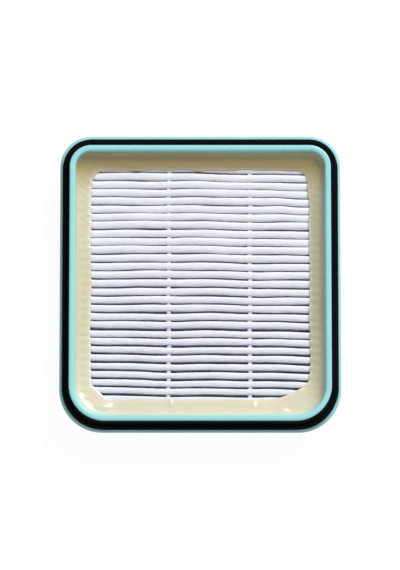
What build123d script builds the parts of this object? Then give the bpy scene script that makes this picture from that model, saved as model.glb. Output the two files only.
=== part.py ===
from build123d import *

import os
from math import asin, atan, cos, degrees, floor, hypot, radians, sin, tan

# Framed high-efficiency air filter panel, lying on its outlet face with the inlet face up.
# Millimetres. X runs along the pleats, Y across them, Z from the outlet face to the inlet face.
# The origin is the plan centre of the flange, at the level of the outlet face.

# Moulded frame
frame_height = 26.0
rim_width = 109.6
rim_length = 116.6
rim_top_corner = 9.0
rim_bottom_corner = 15.0
wall = 2.5
cavity_draft = 1.0
body_draft = 1.0
rim_edge_radius = 1.0
base_chamfer = 0.8

# Flange round the frame, with a channel for the seal
flange_side_overhang = 4.2
flange_end_overhang = 4.6
rim_offset = -0.7
flange_top_corner = 13.1
flange_bottom_corner = 18.2
flange_underside = 15.1
flange_thickness = 2.4
flange_bevel = 0.8
flange_chamfer = 0.4
channel_depth = 0.8
channel_fit = 0.15

# Rubber seal
seal_width = 3.0
seal_height = 3.6
seal_top_relief = 1.2
seal_bevel = 0.8
seal_fit = 0.05
sleeve_thickness = 0.6
sleeve_below_rim = 1.6

# Ledge and support ribs at the outlet face
ledge_width = 5.0
ledge_thickness = 2.0
ledge_top_corner = 2.0
ledge_bottom_corner = 6.0
rib_width = 2.0
window_columns = 3
window_rows = 3
window_gusset = 1.5

# Pleated sheet
sheet_thickness = 0.5
pleat_pitch = 3.5
fold_radius = 1.05
tips_below_rim = 6.0
pack_rest_gap = 0.1
pack_side_gap = 1.5

# Hot-melt spacer beads, on both faces of the pack
bead_width = 2.1
bead_cover = 0.45
bead_reach = 3.0
bead_positions = {"left": -13.2, "right": 20.8}

# Poured sealant
sealant_cover = 0.8
sealant_overlap = 4.4
sealant_reach = 4.0
sealant_shelf = 1.0
sealant_slope_width = 1.8
sealant_slope_rise = 0.5
sealant_climb = 2.0
sealant_lip = 0.3
sealant_top_corner = 3.0
sealant_bottom_corner = 6.0

# Worked-out levels, from the outlet face
lip_top = flange_underside + flange_thickness
channel_floor = lip_top - channel_depth
sheet_front = frame_height - tips_below_rim
sheet_rear = ledge_thickness + pack_rest_gap + bead_cover
sealant_level = sheet_front + sealant_cover

# Worked-out pleat section: centres of the folds, and the slope of the flanks between them
outer_fold = fold_radius + sheet_thickness / 2
inner_fold = fold_radius - sheet_thickness / 2
front_centre = sheet_front - outer_fold
rear_centre = sheet_rear + outer_fold
half_pitch = pleat_pitch / 2
fold_drop = front_centre - rear_centre
flank_slope = degrees(asin(2 * fold_radius / hypot(half_pitch, fold_drop)) - atan(half_pitch / fold_drop))

# Worked-out plan sizes of the cavity floor, the pleat pack and the open face of the pack
floor_inset = wall + (frame_height - ledge_thickness) * tan(radians(cavity_draft))
pack_inset = floor_inset + pack_side_gap
pack_width = rim_width - 2 * pack_inset
pack_room = rim_length - 2 * pack_inset
side_ridges = floor((pack_room / 2 - outer_fold) / pleat_pitch)
ridges = [number * pleat_pitch for number in range(-side_ridges, side_ridges + 1)]
open_width = pack_width - 2 * sealant_overlap
open_length = 2 * (ridges[-1] - pleat_pitch) - sheet_thickness

# Worked-out plan sizes of the ledge's opening and of the windows in it
outlet_width = rim_width - 2 * (floor_inset + ledge_width)
outlet_length = rim_length - 2 * (floor_inset + ledge_width)
window_width = (outlet_width + rib_width) / window_columns - rib_width
window_length = (outlet_length + rib_width) / window_rows - rib_width


def level(height):
    """Plan plane at one height, centred on the rim, which stands off the flange's centre."""
    return Plane((0, rim_offset, height))


def section(position):
    """Plane across the pleats at one X position, centred on the rim."""
    return Plane((position, rim_offset, 0), x_dir=(0, 1, 0), z_dir=(1, 0, 0))


def outline(width, length, top_corner, bottom_corner):
    """Rectangle whose two +Y corners share one radius and whose two -Y corners share another."""
    with BuildSketch(mode=Mode.PRIVATE) as shape:
        Rectangle(width, length)
        fillet(shape.vertices().group_by(Axis.Y)[-1], top_corner)
        fillet(shape.vertices().group_by(Axis.Y)[0], bottom_corner)
    return shape.sketch


def rim_outline(inset=0.0):
    """Outer edge of the rim, moved inwards with its corners kept concentric."""
    return outline(
        rim_width - 2 * inset,
        rim_length - 2 * inset,
        rim_top_corner - inset,
        rim_bottom_corner - inset,
    )


def seal_outline(fit=0.0):
    """Outer edge of the seal, moved outwards by a fit."""
    return outline(
        rim_width + 2 * (seal_width + fit),
        rim_length + 2 * (seal_width + fit),
        rim_top_corner + seal_width + seal_top_relief + fit,
        rim_bottom_corner + seal_width + fit,
    )


def open_outline(grow=0.0):
    """Edge of the sealant round the open face of the pleats, moved outwards."""
    return outline(
        open_width + 2 * grow,
        open_length + 2 * grow,
        sealant_top_corner + grow,
        sealant_bottom_corner + grow,
    )


def fold(y, z, radius, normals):
    """Corners of one fold: where the tangents of its circle meet that face along successive normals."""
    corners = []
    for first, second in zip(normals, normals[1:]):
        reach = radius / cos(radians(second - first) / 2)
        middle = radians(first + second) / 2
        corners.append((y + reach * cos(middle), z + reach * sin(middle)))
    return corners


def sheet_surface(front_radius, rear_radius):
    """Corners of one side of the folded sheet, from -Y to +Y.

    A score on each side of a fold's flat tip bends the sheet by 45 degrees, and so front folds
    stand round circles of front_radius and rear folds hang round circles of rear_radius.
    """
    over = [180 + flank_slope, 135, 90, 45, -flank_slope]
    under = [180 - flank_slope, 225, 270, 315, 360 + flank_slope]
    corners = []
    for ridge in ridges:
        corners += fold(ridge, front_centre, front_radius, over)
        if ridge != ridges[-1]:
            corners += fold(ridge + half_pitch, rear_centre, rear_radius, under)
    lean = tan(radians(flank_slope)) * (corners[0][1] - rear_centre)
    start = (corners[0][0] + lean, rear_centre)
    end = (corners[-1][0] - lean, rear_centre)
    return [start, *corners, end]


# Cavity of the frame, drafted so that it widens towards the inlet face
with BuildPart() as cavity:
    with BuildSketch(level(frame_height)):
        add(rim_outline(wall))
    extrude(amount=ledge_thickness - frame_height, taper=cavity_draft)

# Flange round the body, with the channel that locates the seal
with BuildPart() as flange:
    with BuildSketch(Plane.XY.offset(flange_underside)):
        add(
            outline(
                rim_width + 2 * flange_side_overhang,
                rim_length + 2 * flange_end_overhang,
                flange_top_corner,
                flange_bottom_corner,
            )
        )
    extrude(amount=flange_thickness)
    chamfer(flange.edges().group_by(Axis.Z)[-1], flange_bevel)
    chamfer(flange.edges().group_by(Axis.Z)[0], flange_chamfer)
    with BuildSketch(level(lip_top)):
        add(seal_outline(channel_fit))
    extrude(amount=-channel_depth, mode=Mode.SUBTRACT)

# Moulded frame: drafted body, upright rim and flange in one piece, open inside
with BuildPart() as frame:
    with BuildSketch(level(flange_underside)):
        add(rim_outline())
    extrude(amount=-flange_underside, taper=body_draft)
    chamfer(frame.edges().group_by(Axis.Z)[0], base_chamfer)
    with BuildSketch(level(flange_underside)):
        add(rim_outline())
    extrude(amount=frame_height - flange_underside)
    add(flange.part)
    add(cavity.part, mode=Mode.SUBTRACT)
    fillet(frame.faces().sort_by(Axis.Z)[-1].edges(), rim_edge_radius)
    # Windows between the ledge and the support ribs
    with BuildSketch(level(0)) as windows:
        with GridLocations(window_width + rib_width, window_length + rib_width, window_columns, window_rows):
            Rectangle(window_width, window_length)
        chamfer(windows.vertices(), window_gusset)
        add(outline(outlet_width, outlet_length, ledge_top_corner, ledge_bottom_corner), mode=Mode.INTERSECT)
    extrude(amount=ledge_thickness, mode=Mode.SUBTRACT)
frame.part.label = "frame"

# Rubber seal: a foot that seats in the channel, and a thin sleeve that grips the rim's outer wall
with BuildPart() as seal:
    with BuildSketch(level(channel_floor)):
        add(seal_outline())
    extrude(amount=seal_height)
    chamfer(seal.edges().group_by(Axis.Z)[-1], seal_bevel)
    with BuildSketch(level(channel_floor)):
        add(rim_outline(-seal_fit - sleeve_thickness))
    extrude(amount=frame_height - sleeve_below_rim - channel_floor)
    with BuildSketch(level(channel_floor)):
        add(rim_outline(-seal_fit))
    extrude(amount=frame_height, mode=Mode.SUBTRACT)
seal.part.label = "rubber_seal"

# Folded sheet: one continuous strip, its corners trimmed to the rounding of the cavity
with BuildPart() as pleats:
    with BuildSketch(section(0)):
        with BuildLine():
            inlet_side = sheet_surface(outer_fold, inner_fold)
            outlet_side = sheet_surface(inner_fold, outer_fold)
            Polyline(*inlet_side, *reversed(outlet_side), close=True)
        make_face()
    extrude(amount=pack_width / 2, both=True)
    with BuildSketch(level(sheet_rear)):
        add(rim_outline(pack_inset))
    extrude(amount=sheet_front - sheet_rear, mode=Mode.INTERSECT)
pleats.part.label = "pleated_sheet"


def behind(surface, limit):
    """Region of the cross section between one side of the folded sheet and a height past its other side."""
    near, far = surface[0][0] - pleat_pitch, surface[-1][0] + pleat_pitch
    with BuildSketch(mode=Mode.PRIVATE) as region:
        with BuildLine():
            Polyline((near, rear_centre), *surface, (far, rear_centre))
            Polyline((far, rear_centre), (far, limit), (near, limit), (near, rear_centre))
        make_face()
    return region.sketch


def bead(position, first, last, tips, outward):
    """Spacer bead across the folds at one X position, from the fold at first to the fold at last.

    Its flat back stands bead_cover out from the fold tips, and its teeth fill the gaps between the
    folds to bead_reach below the tips. outward is 1 on the inlet face and -1 on the outlet face.
    """
    back = tips + outward * bead_cover
    tooth_end = tips - outward * bead_reach
    surface = inlet_side if outward > 0 else outlet_side
    with BuildPart() as strip:
        with BuildSketch(section(position)):
            with Locations(((first + last) / 2, (back + tooth_end) / 2)):
                Rectangle(last - first, abs(back - tooth_end))
            add(behind(surface, tips - outward * frame_height), mode=Mode.SUBTRACT)
        extrude(amount=bead_width / 2, both=True)
    return strip.part


# Spacer beads: each inlet bead spans the front folds, each outlet bead the rear folds
beads = []
for side, position in bead_positions.items():
    inlet_bead = bead(position, ridges[0], ridges[-1], sheet_front, 1)
    inlet_bead.label = f"inlet_bead_{side}"
    outlet_bead = bead(position, ridges[0] + half_pitch, ridges[-1] - half_pitch, sheet_rear, -1)
    outlet_bead.label = f"outlet_bead_{side}"
    beads += [inlet_bead, outlet_bead]

# Hollow above the sealant, which dips from the frame wall to a shelf round the open pleats
sealant_crest = sealant_level + sealant_climb
wall_inset_at_crest = wall + (frame_height - sealant_crest) * tan(radians(cavity_draft))
with BuildPart() as dip:
    with BuildSketch(level(sealant_level)):
        add(open_outline(sealant_shelf))
    with BuildSketch(level(sealant_level + sealant_slope_rise)):
        add(open_outline(sealant_shelf + sealant_slope_width))
    with BuildSketch(level(sealant_crest)):
        add(rim_outline(wall_inset_at_crest + sealant_lip))
    loft(ruled=True)

# Room of the pleat pack, which the sealant enters only in the gaps between the front folds
with BuildPart() as pack_room_below:
    with BuildSketch(level(0)):
        add(rim_outline(pack_inset))
    extrude(amount=sheet_front - sealant_reach)
    with BuildSketch(section(0)):
        add(behind(inlet_side, 0))
    extrude(amount=pack_width / 2, both=True)

# Sealant, poured round the pack: it fills the cavity up to the dip and grips the edges of the sheet
with BuildPart() as sealant:
    add(cavity.part)
    with BuildSketch(level(sealant_crest)):
        Rectangle(rim_width, rim_length)
    extrude(amount=frame_height, mode=Mode.SUBTRACT)
    with BuildSketch(level(0)):
        add(open_outline())
    extrude(amount=frame_height, mode=Mode.SUBTRACT)
    add(dip.part, mode=Mode.SUBTRACT)
    add(pack_room_below.part, mode=Mode.SUBTRACT)
    for spacer in beads:
        add(spacer, mode=Mode.SUBTRACT)
sealant.part.label = "sealant"

os.makedirs("parts", exist_ok=True)
for piece in (frame.part, seal.part, pleats.part, sealant.part, *beads):
    export_step(piece, f"parts/{piece.label}.step")
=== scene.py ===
# %% [markdown]
# # A framed filter panel
#
# The object is a small air filter cartridge: a mint moulded frame with a black rubber seal round its rim,
# and in it one white filter sheet, folded to and fro, held by lines of glue and cast into cream sealant.
# Each piece is a surface worked out as whole arrays: a loop round the frame, or a strip across the folds,
# whose points come from a formula. The lengths in this script are millimetres, and they become metres
# where a grid of points is made into a mesh and where a material reads a place.

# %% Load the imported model
from math import cos, pi, radians, sin, tan

import bmesh
import bpy
import numpy as np
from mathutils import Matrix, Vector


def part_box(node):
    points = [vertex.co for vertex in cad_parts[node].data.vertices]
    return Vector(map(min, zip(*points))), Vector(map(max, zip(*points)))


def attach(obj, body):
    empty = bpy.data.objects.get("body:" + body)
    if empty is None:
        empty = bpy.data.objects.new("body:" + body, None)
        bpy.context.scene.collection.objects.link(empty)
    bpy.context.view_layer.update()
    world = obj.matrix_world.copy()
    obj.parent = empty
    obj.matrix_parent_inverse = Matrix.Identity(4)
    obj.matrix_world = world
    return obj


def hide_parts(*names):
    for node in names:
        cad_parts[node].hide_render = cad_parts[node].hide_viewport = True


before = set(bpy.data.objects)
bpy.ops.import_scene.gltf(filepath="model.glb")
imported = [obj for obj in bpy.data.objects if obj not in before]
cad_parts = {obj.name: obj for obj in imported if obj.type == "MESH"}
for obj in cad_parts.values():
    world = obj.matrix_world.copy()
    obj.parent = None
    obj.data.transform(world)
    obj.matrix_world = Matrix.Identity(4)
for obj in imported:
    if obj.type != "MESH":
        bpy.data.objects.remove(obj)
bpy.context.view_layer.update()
MILLIMETRE = 0.001


def node_box(name):
    """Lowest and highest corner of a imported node, in millimetres."""
    low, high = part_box(name)
    return np.array(low) / MILLIMETRE, np.array(high) / MILLIMETRE


print("packed nodes:", ", ".join(sorted(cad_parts)))

# %% [markdown]
# ## Where everything is
#
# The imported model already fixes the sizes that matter: the height of the frame, the outside of the seal and
# the faces of the pleat pack. The script reads them from the boxes of the nodes, and adds only what a box
# can't say, such as wall thicknesses and corner radii. The rim stands a little off the flange's centre, so
# everything that belongs to the rim is laid out round the seal's centre. A pair of corner radii is the one
# at -Y and then the one at +Y.

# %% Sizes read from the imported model
_, frame_high = node_box("frame")
seal_low, seal_high = node_box("rubber_seal")
sheet_low, sheet_high = node_box("pleated_sheet")
_, sealant_high = node_box("sealant")

SEAL_WIDTH = 3.0
RIM_CENTRE = (seal_low[1] + seal_high[1]) / 2
RIM_HALF = np.array([seal_high[0] - SEAL_WIDTH, seal_high[1] - RIM_CENTRE - SEAL_WIDTH])
FLANGE_HALF = frame_high[:2]
RIM_TOP = frame_high[2]
TIPS = sheet_high[2]
REAR_TIPS = sheet_low[2]

# %% Sizes that a box can't say
RIM_CORNERS = (15.0, 9.0)
FLANGE_CORNERS = (18.2, 13.1)
WALL = 2.5
DRAFT = tan(radians(1.0))
LEDGE_TOP = 2.0
FLOOR_INSET = WALL + (RIM_TOP - LEDGE_TOP) * DRAFT
print("rim half size", RIM_HALF, "centre", round(RIM_CENTRE, 2), "tips", REAR_TIPS, TIPS)

# %% [markdown]
# ## Loops round the frame
#
# Rim, flange, seal and sealant all run round the same rounded rectangle. One function gives such a loop
# with a fixed number of points on each arc and each side, so two loops of different sizes pair up point by
# point, and a stack of loops is a grid.

# %% A loop, and a stack of loops
SIDE_STEPS = 24
CORNER_STEPS = 20


def loop(half_width, half_length, bottom_corner, top_corner,
         side_steps=SIDE_STEPS, corner_steps=CORNER_STEPS):
    """Rounded rectangles as points (loops, points, 2), counter-clockwise from the -Y, +X corner.

    Each size is one number or one for each loop. An arc is centre + radius * (cos angle, sin angle), and a
    side is a straight run from the end of one arc to the start of the next.
    """
    given = (half_width, half_length, bottom_corner, top_corner)
    sizes = np.broadcast_arrays(*(np.atleast_1d(size) for size in given))
    width, length, bottom, top = (size.astype(float)[:, None] for size in sizes)
    arcs = []
    for side_x, side_y, radius, start in (
        (1, -1, bottom, -90),
        (1, 1, top, 0),
        (-1, 1, top, 90),
        (-1, -1, bottom, 180),
    ):
        angle = np.radians(start + np.linspace(0, 90, corner_steps + 1))
        x = side_x * (width - radius) + radius * np.cos(angle)
        y = side_y * (length - radius) + radius * np.sin(angle)
        arcs.append(np.stack([x, y], axis=-1))
    share = np.linspace(0, 1, side_steps + 1)[1:-1, None]
    runs = []
    for arc, following in zip(arcs, arcs[1:] + arcs[:1]):
        runs += [arc, arc[:, -1:] + share * (following[:, :1] - arc[:, -1:])]
    return np.concatenate(runs, axis=1)


def rim_loop(offset, **steps):
    """The rim's outer loop, moved outwards by an offset, with concentric corners."""
    offset = np.asarray(offset, float)
    bottom, top = RIM_CORNERS
    return loop(RIM_HALF[0] + offset, RIM_HALF[1] + offset, bottom + offset, top + offset, **steps)


def stack(loops, heights):
    """Grid (loops, points, 3) from loops and a height for each loop or point, placed on the rim's centre."""
    heights = np.broadcast_to(np.asarray(heights, float).reshape(len(loops), -1), loops.shape[:2])
    return np.concatenate([loops + (0, RIM_CENTRE), heights[..., None]], axis=-1)


# %% [markdown]
# ## From grids to pieces
#
# A grid becomes a mesh by joining each point to its neighbours. A piece may take several grids: points that
# coincide are merged, which closes seams and poles, and then all faces are turned outwards. Only edges
# sharper than an angle stay sharp, so that a smooth surface gets by with few faces.

# %% A mesh from grids
MERGE_DISTANCE = 1e-4


def faces_of(grid, first, round_u, round_v):
    """Quads of a grid: each has the corners (i, j), (i, j + 1), (i + 1, j + 1) and (i + 1, j)."""
    index = first + np.arange(grid.shape[0] * grid.shape[1]).reshape(grid.shape[:2])
    if round_u:
        index = np.concatenate([index, index[:1]], axis=0)
    if round_v:
        index = np.concatenate([index, index[:, :1]], axis=1)
    corners = [index[:-1, :-1], index[:-1, 1:], index[1:, 1:], index[1:, :-1]]
    return np.stack(corners, axis=-1).reshape(-1, 4)


def piece(name, grids, sharp=35.0, closed=True):
    """Object from grids (points, round_u, round_v), whose edges stay sharp past an angle in degrees."""
    points, faces = [], []
    for grid, round_u, round_v in grids:
        faces.append(faces_of(grid, sum(len(p) for p in points), round_u, round_v))
        points.append(grid.reshape(-1, 3))
    mesh = bpy.data.meshes.new(name)
    mesh.from_pydata((np.concatenate(points) * MILLIMETRE).tolist(), [], np.concatenate(faces).tolist())
    shape = bmesh.new()
    shape.from_mesh(mesh)
    bmesh.ops.remove_doubles(shape, verts=shape.verts, dist=MERGE_DISTANCE * MILLIMETRE)
    if closed:
        bmesh.ops.recalc_face_normals(shape, faces=shape.faces)
    open_edges = sum(1 for edge in shape.edges if not edge.is_manifold)
    shape.to_mesh(mesh)
    shape.free()
    mesh.shade_smooth()
    mesh.set_sharp_from_angle(angle=radians(sharp))
    made = bpy.data.objects.new(name, mesh)
    bpy.context.scene.collection.objects.link(made)
    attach(made, "root")
    print(f"{name}: {len(mesh.polygons)} faces, {open_edges} open edges")
    return made


# %% [markdown]
# ## Soft corners
#
# Nothing moulded has a perfectly sharp corner, and a soft one always catches a line of light. A section is
# written as a list of its corners, each with a radius, and one function puts an arc in each of them.

# %% Rounded profiles
def rounded(corners, steps=4):
    """Profile (points, 2) from corners (across, up, radius), each radius an arc of steps + 1 points.

    The arc starts and ends radius * tan(half the turn) from the corner, and is a blend of the two
    tangents: for share t it is the quadratic curve through those ends with the corner as its handle.
    """
    spots = np.array([corner[:2] for corner in corners], float)
    profile = []
    for number, (_, _, radius) in enumerate(corners):
        spot = spots[number]
        if radius == 0:
            profile.append(spot[None])
            continue
        before = spots[number - 1] - spot
        after = spots[(number + 1) % len(spots)] - spot
        before, after = before / np.linalg.norm(before), after / np.linalg.norm(after)
        turn = pi - np.arccos(np.clip(before @ after, -1, 1))
        reach = radius * tan(turn / 2)
        t = np.linspace(0, 1, steps + 1)[:, None]
        start, end = spot + reach * before, spot + reach * after
        profile.append((1 - t) ** 2 * start + 2 * t * (1 - t) * spot + t**2 * end)
    return np.concatenate(profile)


# %% [markdown]
# ## The frame
#
# The real frame is one injection moulding: a drafted body, a flange with a channel for the seal, an upright
# rim with soft edges, and ribs across the outlet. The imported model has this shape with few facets, so the
# visible frame is made again as a stack of loops that follow one section: down the cavity wall, round the
# rim, out over the flange and under the body.
#
# The outlet's windows are nine more stacks. Each joins a square cell to a window's rounded edge, and the
# cells share their outer points with each other and with the ledge, so that merging doubles closes the
# whole moulding.

# %% Frame section
FLANGE_UNDER = 15.1
FLANGE_TOP = 17.5
FLANGE_BEVEL = 0.8
FLANGE_OUT = FLANGE_HALF[0] - RIM_HALF[0]
CHANNEL_FLOOR = seal_low[2]
CHANNEL_EDGE = SEAL_WIDTH + 0.15
BASE_CHAMFER = 0.8
RIM_EDGE = 0.7
RIM_INNER_EDGE = 1.1


def frame_section():
    """Corners (offset, height, radius) from the cavity floor over the rim and round to the outlet face."""
    base = -FLANGE_UNDER * DRAFT
    return [
        (-FLOOR_INSET, LEDGE_TOP, 0.3),
        (-WALL, RIM_TOP, RIM_INNER_EDGE),
        (0, RIM_TOP, RIM_EDGE),
        (0, CHANNEL_FLOOR, 0),
        (CHANNEL_EDGE, CHANNEL_FLOOR, 0.1),
        (CHANNEL_EDGE, FLANGE_TOP, 0.1),
        (FLANGE_OUT - FLANGE_BEVEL, FLANGE_TOP, 0.3),
        (FLANGE_OUT, FLANGE_TOP - FLANGE_BEVEL, 0.35),
        (FLANGE_OUT, FLANGE_UNDER, 0.45),
        (0, FLANGE_UNDER, 0.25),
        (base, BASE_CHAMFER, 0.5),
        (base - BASE_CHAMFER, 0, 0.3),
    ]


# %% Frame surface
LEDGE_WIDTH = 5.0
RIB_WIDTH = 2.0
WINDOWS = 3
PLATE_HALF = RIM_HALF - FLOOR_INSET - LEDGE_WIDTH + RIB_WIDTH / 2
CELL_HALF = PLATE_HALF / WINDOWS
PAST_CHANNEL = CHANNEL_EDGE + 0.05


def frame_loops():
    """The moulding's section swept round, from the ledge's top edge to its bottom edge.

    Loops past the channel are centred on the flange, and corners grow outwards to the flange's own radii.
    """
    plate = loop(*PLATE_HALF, 0, 0)
    ledge_edge = -FLOOR_INSET - LEDGE_WIDTH
    section = rounded([(ledge_edge, LEDGE_TOP, 0), *frame_section(), (ledge_edge, 0, 0)])[1:-1]
    offset = section[:, 0]
    out = np.clip(offset / FLANGE_OUT, 0, 1)
    bottom, top = RIM_CORNERS
    flange_bottom, flange_top = FLANGE_CORNERS
    on_flange = offset > PAST_CHANNEL
    loops = loop(
        RIM_HALF[0] + offset,
        np.where(on_flange, FLANGE_HALF[1] - FLANGE_OUT, RIM_HALF[1]) + offset,
        bottom + offset + out * (flange_bottom - bottom - FLANGE_OUT),
        top + offset + out * (flange_top - top - FLANGE_OUT),
    )
    loops[..., 1] -= RIM_CENTRE * on_flange[:, None]
    stacked = np.concatenate([plate, loops, plate])
    return stack(stacked, np.concatenate([[LEDGE_TOP], section[:, 1], [0]]))


# %% Windows at the outlet
WINDOW_EDGE = 0.25
WINDOW_EDGE_MIDDLE = 0.07
WINDOW_CORNER = 1.6


def window_cell(column, row):
    """One window's stack: from the cell's edge on top, in and down through the window, and out below."""
    profile = np.array([
        (WINDOW_EDGE, LEDGE_TOP),
        (WINDOW_EDGE_MIDDLE, LEDGE_TOP - WINDOW_EDGE_MIDDLE),
        (0, LEDGE_TOP - WINDOW_EDGE),
        (0, WINDOW_EDGE),
        (WINDOW_EDGE_MIDDLE, WINDOW_EDGE_MIDDLE),
        (WINDOW_EDGE, 0),
    ])
    steps = {"side_steps": SIDE_STEPS // WINDOWS}
    cell = loop(*CELL_HALF, 0, 0, **steps)
    grow = profile[:, 0]
    width, length = CELL_HALF - RIB_WIDTH / 2
    hole = loop(width + grow, length + grow, WINDOW_CORNER + grow, WINDOW_CORNER + grow, **steps)
    loops = np.concatenate([cell, hole, cell]) + 2 * CELL_HALF * (column, row)
    return stack(loops, np.concatenate([[LEDGE_TOP], profile[:, 1], [0]]))


cells = [(window_cell(column, row), False, True) for column in (-1, 0, 1) for row in (-1, 0, 1)]
moulding = piece("frame_moulding", [(frame_loops(), False, True), *cells])
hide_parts("frame")

# %% [markdown]
# ## The seal
#
# The rubber strip has an L section: a foot in the flange's channel, which the housing presses on, and a
# thin sleeve that grips the rim's outer wall. Rubber has no sharp edges, so each corner of the section is
# an arc, and the foot's face is slightly crowned. Stretched round the tighter corners, the foot bulges out
# a little over the flange along the +Y side.

# %% Seal
FOOT_TOP = CHANNEL_FLOOR + 3.6
SLEEVE_TOP = seal_high[2]
SLEEVE = 0.65
SEAL_FIT = 0.05
SEAL_RELIEF = 0.1
SEAL_BULGE = 0.6
BULGE_RISE = 0.5


def seal_loops():
    """The L section swept round the rim, with rounder corners at +Y towards the foot's outer edge.

    Above the flange the foot moves towards +Y by SEAL_BULGE * (y / half length)^4, and not at all at -Y.
    """
    section = rounded(
        [
            (SEAL_FIT, CHANNEL_FLOOR, 0),
            (SEAL_WIDTH, CHANNEL_FLOOR, 0.15),
            (SEAL_WIDTH, FOOT_TOP - 0.1, 0.9),
            ((SEAL_WIDTH + SLEEVE) / 2, FOOT_TOP + 0.05, 0.2),
            (SLEEVE, FOOT_TOP - 0.05, 0.25),
            (SLEEVE, SLEEVE_TOP, 0.25),
            (SEAL_FIT, SLEEVE_TOP, 0.1),
        ],
        steps=5,
    )
    offset, height = section.T
    outwards = np.clip((offset - SLEEVE) / (SEAL_WIDTH - SLEEVE), 0, 1)
    bottom, top = RIM_CORNERS
    top_corners = top + offset + SEAL_RELIEF * outwards
    loops = loop(RIM_HALF[0] + offset, RIM_HALF[1] + offset, bottom + offset, top_corners)
    free = outwards * np.clip((height - FLANGE_TOP) / BULGE_RISE, 0, 1)
    loops[..., 1] += SEAL_BULGE * free[:, None] * np.clip(loops[..., 1] / RIM_HALF[1], 0, 1) ** 4
    return stack(loops, height)


seal = piece("rubber_seal_strip", [(seal_loops(), True, True)])
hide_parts("rubber_seal")

# %% [markdown]
# ## The pleated sheet
#
# One strip of filter paper runs to and fro, round a front fold and then round a rear fold. In section the
# middle of the sheet is an arc at each fold and a straight flank between them. For round folds a flank
# touches both circles: with the circles d apart and their radii r and s, it leans by asin((r + s) / d) off
# the line of their centres. Paper is creased rather than bent, so the arcs are then flattened in height.
#
# A real pack is never even, so the place of each fold is a sum of its pitch, a random offset, a slant, two
# long waves along X and a wobble. The beads and the sealant are built on the same function, and so they
# follow the folds.

# %% Size of the pack
PITCH = 3.5
SHEET = 0.5
TIGHT_FOLD = 0.86
SLACK_FOLD = 1.2
TIGHT_UNTIL = -13
SLACK_FROM = 6
FOLD_FLATNESS = 0.42
PACK_GAP = 1.5
RIDGES = int(round((sheet_high[1] - sheet_low[1] - 2 * TIGHT_FOLD - SHEET) / PITCH)) // 2
PACK_HALF = np.array([sheet_high[0], RIM_HALF[1] - FLOOR_INSET - PACK_GAP])
PACK_INSET = RIM_HALF[0] - PACK_HALF[0]
print(f"{2 * RIDGES + 1} front folds, {PITCH} mm apart")

# %% What chance adds to each fold
SEED = 11
OFFSET_SPREAD = 0.12
DEEPEST_TIP = -0.2
PHASE_SPREAD = 0.5
WOBBLE_SPREAD = 0.03
WOBBLES = 60
chance = np.random.default_rng(SEED)
count = 2 * RIDGES + 1
ridge_offset = chance.normal(0, OFFSET_SPREAD, count)
ridge_rise = chance.uniform(DEEPEST_TIP, 0.0, count)
ridge_phase = np.cumsum(chance.normal(0, PHASE_SPREAD, (2, count)), axis=1)
wobble = chance.normal(0, WOBBLE_SPREAD, (count, WOBBLES))
swell_phase = chance.uniform(0, 2 * pi, (2, count))
print("tips lie up to", round(-ridge_rise.min(), 2), "mm below the highest")


# %% Places of the folds
# Slope of the folds: at the pack's middle, and its change with the share of the way to the end and its square
SLANT = (-0.0073, 0.0028, -0.0085)

# Folds crowd towards +Y: a shift of them all, and a bump of shift with its height, its place and half width
SHIFT = 0.15
CROWDING = (0.6, 0.35, 0.5)

# Length and height of each wave along X
WAVES = ((78, 0.2), (31, 0.12))

# A knock that bent some folds: x, number of the fold, half widths in x and in folds, and depth
KNOCKS = ((34, 9, 5, 1.2, 0.5),)


def bumps(x, y, spots):
    """Sum of amount * exp(-(dx / a)^2 - (dy / b)^2) over the spots (x, y, a, b, amount)."""
    return sum(amount * np.exp(-(((x - spot_x) / a) ** 2) - ((y - spot_y) / b) ** 2)
               for spot_x, spot_y, a, b, amount in spots)


def ridge_place(number, x):
    """Y of front fold `number` at x, from the rim's centre: pitch, offset, slant, waves and wobble."""
    number = np.asarray(number)
    index = np.clip(number + RIDGES, 0, count - 1)
    share = number / RIDGES
    slant = (SLANT[0] + SLANT[1] * share + SLANT[2] * share**2) * x
    shift, crowded_at, crowd_width = CROWDING
    crowding = SHIFT + shift * np.exp(-(((share - crowded_at) / crowd_width) ** 2))
    waves = sum(height * np.sin(2 * pi * x / length + phase[index])
                for (length, height), phase in zip(WAVES, ridge_phase))
    column = np.clip((x / PACK_HALF[0] + 1) / 2 * (WOBBLES - 1), 0, WOBBLES - 1)
    left = np.minimum(column.astype(int), WOBBLES - 2)
    past = column - left
    small = wobble[index, left] * (1 - past) + wobble[index, left + 1] * past
    uneven = ridge_offset[index] + crowding + slant + waves + small
    return PITCH * number + uneven + bumps(x, number, KNOCKS)


def fold_phase(x, y):
    """Share of a pitch from the nearest front fold to a point: 0 on its ridge, half in the gap."""
    number = np.clip(np.round(y / PITCH), -RIDGES, RIDGES).astype(int)
    return (y - ridge_place(number, x)) / PITCH


# %% Circles of the folds
COLUMNS = 57

# Along a fold its radius swells in two waves, each with a length and a share, and its tip rolls up and down
SWELLS = ((43, 1.0), (17, 0.6))
SWELL = 0.06
ROLL = 0.03
ROLL_LENGTH = 7
REAR_FOLLOWS = 0.1


def fold_radius(number):
    """Radius of a fold: the folds near the -Y end are pressed tighter, so the gaps between them are wider.

    It goes from one radius to the other by the smooth step s * s * (3 - 2 * s).
    """
    share = np.clip((np.asarray(number, float) - TIGHT_UNTIL) / (SLACK_FROM - TIGHT_UNTIL), 0, 1)
    return TIGHT_FOLD + (SLACK_FOLD - TIGHT_FOLD) * share * share * (3 - 2 * share)


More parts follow.
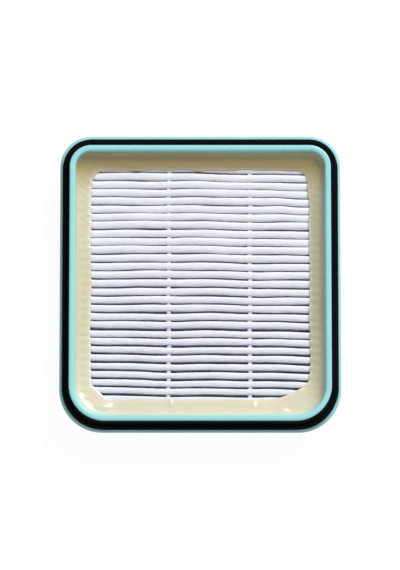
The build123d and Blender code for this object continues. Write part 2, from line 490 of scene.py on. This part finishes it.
def pack_half_width(y):
    """Half width of the pack at y: the outline's straight side, less the arc of its rounded corner."""
    y = np.asarray(y, float)
    corner = np.where(y < 0, RIM_CORNERS[0], RIM_CORNERS[1]) - PACK_INSET
    into = np.clip(np.abs(y) - (PACK_HALF[1] - corner), 0, corner)
    return PACK_HALF[0] - corner + np.sqrt(corner**2 - into**2)


def fold_circles():
    """X, y, z and radius of every front fold and every rear fold: two arrays (4, folds, columns)."""
    numbers = np.arange(-RIDGES, RIDGES + 1)
    x = np.linspace(-1, 1, COLUMNS) * pack_half_width(PITCH * numbers)[:, None]
    swell = sum(share * np.sin(2 * pi * x / length + phase[:, None])
                for (length, share), phase in zip(SWELLS, swell_phase))
    radius = fold_radius(numbers)[:, None] + SWELL * swell
    rise = ridge_rise[:, None] + ROLL * np.sin(x / ROLL_LENGTH + ridge_phase[0][:, None])
    z = TIPS - FOLD_FLATNESS * radius - SHEET / 2 + rise
    front = np.stack([x, ridge_place(numbers[:, None], x), z, radius])
    between = (front[:2, 1:] + front[:2, :-1]) / 2
    rear_radius = fold_radius(numbers[:-1] + 0.5)[:, None]
    rear_rise = REAR_FOLLOWS * np.diff(ridge_rise)[:, None]
    rear_z = REAR_TIPS + FOLD_FLATNESS * rear_radius + SHEET / 2 + rear_rise
    even = [np.broadcast_to(value, x[1:].shape) for value in (rear_z, rear_radius)]
    return front, np.stack([*between, *even])


# %% Sheet
ARC_STEPS = 8
FLANK_STEPS = 4


def lean(front, rear):
    """Angle of the flank between a front and a rear fold off the vertical, in radians."""
    y_gap = np.abs(front[1] - rear[1])
    z_gap = front[2] - rear[2]
    return np.arcsin((front[3] + rear[3]) / np.hypot(y_gap, z_gap)) - np.arctan(y_gap / z_gap)


def fold_arc(fold, start, end):
    """Points (samples, columns, 3) round a fold (x, y, z, radius), between two angles for each column.

    The arc is part of an ellipse: its rise is the radius times FOLD_FLATNESS.
    """
    x, y, z, radius = fold
    angle = start + np.linspace(0, 1, ARC_STEPS + 1)[:, None] * (end - start)
    across = np.broadcast_to(x, angle.shape)
    return np.stack([across, y + radius * np.cos(angle), z + FOLD_FLATNESS * radius * np.sin(angle)], axis=-1)


def sheet_grid():
    """The middle surface of the sheet, (samples, columns, 3), from its -Y end to its +Y end.

    Between two arcs it runs straight: start + share * (end - start).
    """
    front, rear = fold_circles()
    upright = np.zeros((1, COLUMNS))
    before = np.concatenate([upright, lean(front[:, 1:], rear)])
    after = np.concatenate([lean(front[:, :-1], rear), upright])
    arcs = []
    for n in range(count):
        arcs.append(fold_arc(front[:, n], pi + before[n], -after[n]))
        if n < count - 1:
            arcs.append(fold_arc(rear[:, n], pi - after[n], 2 * pi + before[n + 1]))
    first = np.stack([front[0, 0], front[1, 0] - front[3, 0], rear[2, 0]], axis=-1)
    last = np.stack([front[0, -1], front[1, -1] + front[3, -1], rear[2, -1]], axis=-1)
    share = np.linspace(0, 1, FLANK_STEPS + 1)[1:-1, None, None]
    rows = [first[None]]
    for arc in (*arcs, last[None]):
        start = rows[-1][-1]
        rows += [start + share * (arc[0] - start), arc]
    return np.concatenate(rows) + (0, RIM_CENTRE, 0)


folds = sheet_grid()
sheet = piece("filter_sheet", [(folds, False, False)], sharp=60, closed=False)
thick = sheet.modifiers.new("paper thickness", "SOLIDIFY")
thick.thickness = SHEET * MILLIMETRE
thick.offset = 0
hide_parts("pleated_sheet")

# %% [markdown]
# ## The sealant
#
# The sealant was poured as a liquid, so its surface tells how it set. It climbs the frame's wall in a
# meniscus, lies nearly level, sinks towards the open pleats and a little between the folds that it covers,
# and ends in a soft edge, which ran further in at the corners.
#
# Its height is a level, plus a climb of height * exp(-distance / reach) from the wall, minus a sag that
# grows with the square of the way in, plus ripples at the pitch of the folds, slow waves and single drips.
# Its inner edge is the open outline, pulled inwards by bumps.

# %% Sizes of the sealant
OPEN_HALF = np.array([45.9, 48.75])
OPEN_CORNERS = (8.0, 5.0)
LEVEL = TIPS + 0.8
CREST = sealant_high[2]
SEALANT_FOOT = TIPS - 3.8
LEDGE_FIT = 0.02
POUR_STEPS = {"side_steps": 210, "corner_steps": 26}

# Bumps, each as x, y from the rim's centre, half widths along x and y, and amount: where the inner edge
# ran over the pleats, where the meniscus reaches further from the wall, and drips on the surface
OVERRUNS = (
    (42.5, -47.3, 9.0, 4.6, 2.8),
    (-44.5, -47.4, 4.5, 4.2, 1.8),
    (-45.0, 47.0, 3.0, 5.0, 1.0),
    (45.5, 44.0, 3.0, 8.0, 0.9),
)
WETTED = (
    (-48.0, -51.0, 9.0, 9.0, 0.7),
    (34.3, -54.0, 2.2, 3.0, 0.9),
)
DRIPS = (
    (-40.4, -52.0, 3.0, 1.7, 0.8),
    (-12.4, -50.4, 0.8, 1.9, 0.25),
    (22.2, -50.8, 0.8, 1.5, 0.25),
    (-13.2, 50.6, 0.9, 0.8, 0.25),
    (20.8, 50.8, 0.8, 0.7, 0.3),
    (3.0, 51.8, 2.2, 0.5, 0.16),
    (30.0, 52.2, 3.0, 0.5, 0.16),
)


# %% Inner edge of the sealant
# Length, amount and phase of each wave of the edge, and how far it follows the folds at the sides
EDGE_WAVES = ((5.3, 0.18, 0), (2.1, 0.12, 1))
EDGE_AT_FOLDS = 0.28
SIDE_BAND = 2.0
SQUARENESS = 8


def open_edge():
    """Inner edge of the sealant: the open outline, pulled in by overruns, waves and the folds at the sides.

    The pull is square to the nearest side, and turns quickly at the corners, because it runs along the
    direction to the middle with each coordinate raised to a high power.
    """
    edge = loop(*OPEN_HALF, *OPEN_CORNERS, **POUR_STEPS)[0]
    x, y = edge.T
    along = np.hypot(*np.diff(edge, axis=0, append=edge[:1]).T).cumsum()
    on_side = np.clip((np.abs(x) - (OPEN_HALF[0] - SIDE_BAND)) / SIDE_BAND, 0, 1)
    pull = bumps(x, y, OVERRUNS)
    pull += sum(amount * np.sin(along / length + phase) for length, amount, phase in EDGE_WAVES)
    pull += EDGE_AT_FOLDS * on_side * np.cos(2 * pi * fold_phase(x, y))
    inward = -edge / OPEN_HALF
    inward = np.sign(inward) * np.abs(inward) ** SQUARENESS
    inward /= np.linalg.norm(inward, axis=1, keepdims=True) + 1e-9
    return edge + pull[:, None] * inward


# %% Height of the sealant
# Meniscus: its reach from the wall along the sides, and what the ends add past a distance from the middle
SIDE_REACH = 0.6
END_REACH = 0.3
ENDS_FROM = 50
ENDS_WIDTH = 4

# Sag between wall and edge, and how much the surface tips at the right, fully so at a distance in x
RISE_AT_WALL = 0.15
SAG = 0.75
RIGHT_TILT = 0.45
TILT_WIDTH = 40

# Ripples over the buried folds: distance from the wall, then half width and height at the left and the right
BURIED_AT = 3.1
BURIED_WIDTH = {"left": 1.7, "right": 2.4}
RIPPLE = {"left": 0.075, "right": 0.125}
RIPPLE_FADE = 1.5


def by_side(x, values):
    """The value for the left or for the right, for each x."""
    return np.where(x > 0, values["right"], values["left"])


def ripples(x, y, distance):
    """Height * exp(-((distance - place) / width)^2) * (cos(2 pi phase) - 0.2), at the sides of the pack."""
    over_folds = np.clip(1 - (np.abs(y) - RIDGES * PITCH) / RIPPLE_FADE, 0, 1)
    at_side = np.clip((np.abs(x) - OPEN_HALF[0] + 1) / RIPPLE_FADE, 0, 1)
    buried = np.exp(-(((distance - BURIED_AT) / by_side(x, BURIED_WIDTH)) ** 2))
    return by_side(x, RIPPLE) * buried * over_folds * at_side * (np.cos(2 * pi * fold_phase(x, y)) - 0.2)


def surface_height(x, y, distance, across):
    """Height of the surface at a point, from its distance to the wall and its share of the way in."""
    reach = SIDE_REACH + END_REACH * np.clip((np.abs(y) - ENDS_FROM) / ENDS_WIDTH, 0, 1) + bumps(x, y, WETTED)
    climb = (CREST - LEVEL - RISE_AT_WALL) * np.exp(-distance / reach)
    tilt = RIGHT_TILT * np.clip(x / TILT_WIDTH, 0, 1)
    flat = LEVEL + RISE_AT_WALL + tilt - (SAG + tilt) * across**2
    slow = 0.08 * np.sin(x / 9 + 0.6) * np.cos(y / 11 - 0.4) + 0.05 * np.sin(x / 3.7 + y / 5.1)
    off_wall = np.clip(distance / 2, 0, 1)
    return flat + climb + ripples(x, y, distance) + bumps(x, y, DRIPS) + slow * off_wall


# %% Sealant
SURFACE_LOOPS = 21
LOOP_SPACING = 1.2

# The rounded lip past the inner edge: how far in and how far down each of its loops is
LIP = ((0.22, 0.16), (0.32, 0.5))


def sealant_grid():
    """Closed section swept round: down the meniscus to the open edge, into the pack and back up the wall."""
    wall = rim_loop(-WALL - (RIM_TOP - CREST) * DRAFT, **POUR_STEPS)[0]
    edge = open_edge()
    across = np.linspace(0, 1, SURFACE_LOOPS)[:, None] ** LOOP_SPACING
    top = wall + across[..., None] * (edge - wall)
    distance = np.linalg.norm(top - wall, axis=-1)
    height = surface_height(top[..., 0], top[..., 1], distance, across)
    inward = edge.mean(axis=0) - edge
    inward /= np.linalg.norm(inward, axis=1, keepdims=True)
    lip = [edge + reach * inward for reach, _ in LIP]
    lip_heights = [height[-1] - drop for _, drop in LIP]
    pack = rim_loop(-PACK_INSET, **POUR_STEPS)[0]
    floor_edge = rim_loop(-FLOOR_INSET, **POUR_STEPS)[0]
    below = [lip[-1], pack, pack, floor_edge]
    low = LEDGE_TOP + LEDGE_FIT
    below_heights = np.outer((SEALANT_FOOT, SEALANT_FOOT, low, low), np.ones(len(edge)))
    return stack(np.concatenate([top, lip, below]), np.concatenate([height, lip_heights, below_heights]))


pour = piece("cast_sealant", [(sealant_grid(), True, True)], sharp=50)
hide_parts("sealant")

# %% [markdown]
# ## The glue beads
#
# Each bead was laid across the tips before the strip was folded, and it sank between the folds as they
# closed. At a tip the paper hides it, and in a gap it shows as a wider tooth. Its height, width and crown
# each have a value at a tip and a change in a gap, blended by the share 0.5 - 0.5 * cos(2 pi phase). The
# outlet's beads are the same, upside down.

# %% Beads
BEAD_PLACES = {"left": -13.2, "right": 20.8}
BEAD_SIDES = 12
BEAD_STEPS = 24
BEAD_END = 1.2

# Each as its value at a tip, and what a gap adds
BEAD_LIFT = (-0.36, -0.55)
BEAD_HALF_WIDTH = (0.5, 0.4)
BEAD_CROWN = (0.08, 0.26)
BEAD_DEPTH = (0.25, 2.0)


def bead_grid(place, facing):
    """Tube (samples along Y, points round, 3) that rides over the tips; facing is 1 in front, -1 behind."""
    front = facing > 0
    half_span = PITCH * (RIDGES if front else RIDGES - 0.5)
    y = np.linspace(-half_span, half_span, BEAD_STEPS * RIDGES)
    drift = place + 0.12 * np.sin(y / 6.1 + place) + 0.08 * np.sin(y / 2.3)
    phase = fold_phase(drift, y) + (0 if front else 0.5)
    in_gap = 0.5 - 0.5 * np.cos(2 * pi * phase)
    number = np.clip(np.round(y / PITCH), -RIDGES, RIDGES).astype(int)
    own_rise = ridge_rise[number + RIDGES] * (1 - in_gap) * front
    lift, half_width, crown = (tip + more * in_gap for tip, more in (BEAD_LIFT, BEAD_HALF_WIDTH, BEAD_CROWN))
    depth = BEAD_DEPTH[0] + BEAD_DEPTH[1] * in_gap**2
    taper = np.clip((half_span - np.abs(y)) / BEAD_END, 0.02, 1) ** 0.5
    angle = np.linspace(0, 2 * pi, BEAD_SIDES, endpoint=False)
    up = np.sin(angle)
    x = drift[:, None] + (half_width * taper)[:, None] * np.cos(angle)
    z = (lift + own_rise)[:, None] - crown[:, None] * (1 - np.clip(up, 0, 1))
    z = z + np.clip(up, -1, 0) * (depth * taper)[:, None]
    y_grid = np.broadcast_to(y[:, None] + RIM_CENTRE, x.shape)
    return np.stack([x, y_grid, (TIPS if front else REAR_TIPS) + facing * z], axis=-1)


def end_caps(tube):
    """Grids that close a tube: each end's ring and its middle point."""
    rings = (tube[0], tube[-1])
    return [(np.stack([ring, np.broadcast_to(ring.mean(axis=0), ring.shape)]), False, True) for ring in rings]


beads = []
for facing, face in ((1, "inlet"), (-1, "outlet")):
    for side, place in BEAD_PLACES.items():
        tube = bead_grid(place, facing)
        bead = piece(f"{face}_glue_{side}", [(tube, False, True), *end_caps(tube)], sharp=70)
        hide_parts(f"{face}_bead_{side}")
        beads.append(bead)

# %% [markdown]
# ## Materials
#
# Shader maths reads best as expressions, so a small class wraps a socket and turns +, - and * into Math
# nodes. One method makes any other node from its type, its settings and its inputs.


# %% Shader tools
class Value:
    """A socket in a material, with arithmetic that adds Math nodes."""

    def __init__(self, tree, socket):
        self.tree, self.socket = tree, socket

    def math(self, operation, other, swap=False, clamp=False):
        operands = (other, self) if swap else (self, other)
        settings = {"operation": operation, "use_clamp": clamp}
        return self.tree.node("ShaderNodeMath", settings, dict(enumerate(operands)))

    def __add__(self, other):
        return self.math("ADD", other)

    def __radd__(self, other):
        return self.math("ADD", other)

    def __sub__(self, other):
        return self.math("SUBTRACT", other)

    def __rsub__(self, other):
        return self.math("SUBTRACT", other, swap=True)

    def __mul__(self, other):
        return self.math("MULTIPLY", other)

    def __rmul__(self, other):
        return self.math("MULTIPLY", other)

    def clamped(self):
        return self.math("ADD", 0.0, clamp=True)


class Finish:
    """A material whose nodes are made by one method, with a Principled shader to feed."""

    def __init__(self, name, **constants):
        self.material = bpy.data.materials.new(name)
        self.material.use_nodes = True
        self.nodes = self.material.node_tree.nodes
        self.links = self.material.node_tree.links
        self.shader = self.nodes["Principled BSDF"]
        for socket, value in constants.items():
            self.shader.inputs[socket.replace("_", " ")].default_value = value
        self.place = self.node("ShaderNodeTexCoord", output="Object")

    def node(self, kind, settings=None, inputs=None, output=0):
        made = self.nodes.new(kind)
        for key, value in (settings or {}).items():
            setattr(made, key, value)
        for key, value in (inputs or {}).items():
            if isinstance(value, Value):
                self.links.new(value.socket, made.inputs[key])
            else:
                made.inputs[key].default_value = value
        return Value(self, made.outputs[output])

    def feed(self, socket, value):
        self.links.new(value.socket, self.shader.inputs[socket])

    def separate(self, axis):
        """One coordinate of the point, in metres."""
        return self.node("ShaderNodeSeparateXYZ", inputs={0: self.place}, output="XYZ".index(axis))

    def ramp(self, axis, start, end):
        """0 to 1 along an axis, between two places in millimetres, and level beyond them."""
        past = self.separate(axis) - start * MILLIMETRE
        return (past * (1 / ((end - start) * MILLIMETRE))).clamped()

    def noise(self, size, detail=2.0, roughness=0.5, stretch=(1, 1, 1)):
        """Noise from 0 to 1 with blobs of a size in millimetres; stretch squeezes it along an axis."""
        scale = tuple(s / (size * MILLIMETRE) for s in stretch)
        place = self.node("ShaderNodeMapping", inputs={"Vector": self.place, "Scale": scale})
        inputs = {"Vector": place, "Scale": 1.0, "Detail": detail, "Roughness": roughness}
        return self.node("ShaderNodeTexNoise", inputs=inputs)

    def mix(self, share, first, second):
        """Colour between two colours."""
        inputs = {"Factor": share, 6: first, 7: second}
        return self.node("ShaderNodeMix", {"data_type": "RGBA"}, inputs, output=2)

    def bump(self, height, depth):
        """Bump of a depth in millimetres, from a height of 0 to 1."""
        inputs = {"Height": height, "Distance": depth * MILLIMETRE}
        self.feed("Normal", self.node("ShaderNodeBump", inputs=inputs))

    def coat(self, *objects):
        """Gives the material to objects."""
        for dressed in objects:
            dressed.data.materials.append(self.material)
        print(f"{self.material.name}: {len(self.nodes)} nodes")


# %% [markdown]
# ### Moulded plastic
#
# The frame is a glossy mint plastic. Up close a moulding has a faint unevenness of colour where the melt
# flowed, and a very fine texture that breaks the highlight.

# %% Mint plastic
mint = Finish("mint plastic", Specular_IOR_Level=0.5)
flow = mint.noise(28, detail=3, stretch=(1, 1, 2))
mint.feed("Base Color", mint.mix(flow, (0.31, 0.71, 0.73, 1), (0.36, 0.76, 0.77, 1)))
mint.feed("Roughness", 0.15 + 0.1 * flow)
mint.bump(mint.noise(0.35, detail=1), 0.004)
mint.coat(moulding)

# %% [markdown]
# ### Rubber
#
# The seal is black rubber with a dull skin: a low specular level, and a bloom that greys it in patches.

# %% Black rubber
rubber = Finish("black rubber", Specular_IOR_Level=0.035)
bloom = rubber.noise(6, detail=4, roughness=0.6)
rubber.feed("Base Color", rubber.mix(bloom, (0.001, 0.0015, 0.002, 1), (0.004, 0.0045, 0.006, 1)))
rubber.feed("Roughness", 0.5 + 0.25 * bloom)
rubber.bump(rubber.noise(0.5, detail=2), 0.01)
rubber.coat(seal)

# %% [markdown]
# ### Filter paper
#
# The sheet is a mat of glass or melt-blown fibres: matt, white with a cool tint, cloudy at the scale of a
# millimetre or two, and finely fibrous, so its colour and bump have noise stretched along the folds. Light
# passes a little way through it, which softens the shade in the gaps.

# %% Filter paper
paper = Finish("filter paper", Roughness=0.9, Specular_IOR_Level=0.1, Subsurface_Weight=0.8,
               Subsurface_Scale=0.0006, Subsurface_Radius=(1, 1, 1))
cloud = paper.noise(2.2, detail=3, roughness=0.6)
fibres = paper.noise(0.35, detail=3, roughness=0.7, stretch=(0.35, 1, 1))
streak = paper.noise(1.5, detail=2, stretch=(0.22, 1, 1))
patches = 0.5 * cloud + 0.5 * streak
paper.feed("Base Color", paper.mix(patches, (0.78, 0.79, 0.925, 1), (0.93, 0.93, 0.99, 1)))
paper.bump(0.7 * cloud + 0.5 * streak + 0.4 * fibres, 0.1)
paper.coat(sheet)

# %% [markdown]
# ### Sealant
#
# The cream sealant set with a glossy skin over a slightly translucent body, so where it is thin its colour
# tells how much of it there is: where it is a film over the folds, the white paper shows through, and where
# it is thin on the wall, the mint does. Besides, painted light makes it paler towards -Y, painted shade makes
# it tan along the right side, and a painted shadow of the rim makes it deepest along +Y.

# %% Cream sealant
cream = Finish("cream sealant", IOR=1.5)
drift = cream.noise(14, detail=3)
body = cream.mix(drift, (0.63, 0.565, 0.37, 1), (0.69, 0.625, 0.44, 1))
# Painted light: the colour turns paler towards -Y, standing in for the brighter light on the front band.
front_painted_light = cream.ramp("Y", -14.3, -85.7)
pale = cream.mix(front_painted_light, body, (0.80, 0.725, 0.57, 1))
# Painted shade: a darker tan along the right side stands in for the shadow of the right wall.
right_painted_shade = cream.ramp("X", 43, 48) * (1.0 - front_painted_light)
with_right_painted_shade = cream.mix(0.75 * right_painted_shade, pale, (0.475, 0.42, 0.275, 1))
# Painted shadow: a deep brown band along +Y stands in for the rim's shadow on the sealant, and there it also
# weakens the paper and mint tints.
top_painted_shadow = cream.ramp("Y", 38, 49.1)
with_top_painted_shadow = cream.mix(top_painted_shadow, with_right_painted_shade, (0.36, 0.285, 0.12, 1))
film = cream.ramp("Z", LEVEL - 0.32, LEVEL - 0.67)
over_paper = cream.mix(film * (0.7 - 0.55 * top_painted_shadow), with_top_painted_shadow, (0.80, 0.78, 0.76, 1))
thin = cream.ramp("Z", LEVEL + 0.4, LEVEL + 2.3)
cream.feed("Base Color", cream.mix(thin * (0.75 - 0.4 * top_painted_shadow), over_paper, (0.44, 0.72, 0.66, 1)))
cream.feed("Roughness", 0.1 + 0.1 * drift)
cream.bump(cream.noise(2.5, detail=2), 0.05)
cream.coat(pour)

# %% [markdown]
# ### Glue
#
# Hot-melt glue is clouded and nearly white, with a waxy shine. Its colour here is a darker grey lavender,
# painted shade for the gaps between the folds, where the beads show.

# %% Clouded glue
glue = Finish("clouded glue", Specular_IOR_Level=0.2)
haze = glue.noise(1.6, detail=2)
# Painted shade: these grey-lavender colours, darker than the nearly white glue, stand in for the shade in the
# gaps.
glue.feed("Base Color", glue.mix(haze, (0.58, 0.59, 0.70, 1), (0.66, 0.67, 0.78, 1)))
glue.feed("Roughness", 0.45 + 0.2 * haze)
glue.bump(glue.noise(0.8, detail=1), 0.03)
glue.coat(*beads)

# %% [markdown]
# ## Light, floor and camera
#
# One soft lamp stands high on the +Y, +X side, a wide and weak one stands in front, and a grey world fills
# the shadows. The background is white because camera, glossy and transmission rays see a white world, not
# because the object gets more light. The floor adds some white of its own for the camera and keeps a soft
# shadow.

# %% Floor
FLOOR_HALF = 6.0
FLOOR_GREY = 0.09
FLOOR_GLOW = 0.93


def seen_directly(tree):
    """1 for rays from the camera, or reflected or refracted once, and 0 for light that falls on things."""
    camera = tree.node("ShaderNodeLightPath", output="Is Camera Ray")
    glossy = tree.node("ShaderNodeLightPath", output="Is Glossy Ray")
    through = tree.node("ShaderNodeLightPath", output="Is Transmission Ray")
    return (camera + glossy + through).clamped()


floor_mesh = bpy.data.meshes.new("floor")
floor_corners = FLOOR_HALF * np.array([(-1, -1, 0), (1, -1, 0), (1, 1, 0), (-1, 1, 0)])
floor_mesh.from_pydata(floor_corners.tolist(), [], [(0, 1, 2, 3)])
floor = bpy.data.objects.new("floor", floor_mesh)
bpy.context.scene.collection.objects.link(floor)
pale_floor = Finish("pale floor", Base_Color=(FLOOR_GREY, FLOOR_GREY, FLOOR_GREY, 1), Roughness=0.9,
                    Emission_Color=(1, 1, 1, 1))
pale_floor.feed("Emission Strength", FLOOR_GLOW * seen_directly(pale_floor))
pale_floor.coat(floor)

# %% World
FILL = 0.37
FILL_FROM_SIDES = 0.3
FILL_FROM_ABOVE = 0.9


class Sky(Finish):
    """The world's nodes, made by the same method as a material's."""

    def __init__(self):
        world = bpy.data.worlds.new("studio")
        world.use_nodes = True
        bpy.context.scene.world = world
        self.nodes = world.node_tree.nodes
        self.links = world.node_tree.links
        self.shader = self.nodes["Background"]
        self.place = self.node("ShaderNodeTexCoord", output="Generated")


sky = Sky()
overhead = sky.separate("Z").clamped()
fill = FILL * (FILL_FROM_SIDES + FILL_FROM_ABOVE * overhead)
sky.feed("Strength", fill + (1 - fill) * seen_directly(sky))
sky.shader.inputs["Color"].default_value = (1, 1, 1, 1)

# %% Lamps
KEY_DISTANCE = 3.0
KEY_TURN = radians(56)
KEY_HEIGHT = radians(42)


def area_lamp(name, size, energy, location, rotation):
    """A square lamp of a size in metres, which shines along its own -Z."""
    data = bpy.data.lights.new(name, "AREA")
    data.size = size
    data.energy = energy
    lamp = bpy.data.objects.new(name, data)
    lamp.location = location
    lamp.rotation_euler = rotation
    bpy.context.scene.collection.objects.link(lamp)
    print(f"{name} lamp, {energy} W, at", [round(value, 2) for value in location])


key_place = (
    KEY_DISTANCE * cos(KEY_HEIGHT) * cos(KEY_TURN),
    KEY_DISTANCE * cos(KEY_HEIGHT) * sin(KEY_TURN),
    KEY_DISTANCE * sin(KEY_HEIGHT),
)
area_lamp("key", 1.5, 84, key_place, (pi / 2 - KEY_HEIGHT, 0, KEY_TURN + pi / 2))
area_lamp("front fill", 2.5, 11, (-0.4, -2.2, 2.0), (radians(48), 0, radians(-10)))

# %% Camera
CAMERA_TILT = radians(9)
CAMERA_DISTANCE = 1.66
SENSOR = 36
PIXELS_HIGH = 570
METRES_PER_PIXEL = 0.00042
TARGET = (-0.0001, -0.0005, 0.0165)
camera_data = bpy.data.cameras.new("camera")
camera_data.sensor_width = SENSOR
camera_data.lens = SENSOR * CAMERA_DISTANCE / (PIXELS_HIGH * METRES_PER_PIXEL)
camera = bpy.data.objects.new("camera", camera_data)
bpy.context.scene.collection.objects.link(camera)
camera.location = (
    TARGET[0],
    TARGET[1] - CAMERA_DISTANCE * sin(CAMERA_TILT),
    TARGET[2] + CAMERA_DISTANCE * cos(CAMERA_TILT),
)
camera.rotation_euler = (CAMERA_TILT, 0, 0)
bpy.context.scene.camera = camera
bpy.context.scene.view_settings.view_transform = "Standard"
print(f"camera {CAMERA_DISTANCE} m away, lens {camera_data.lens:.0f} mm")
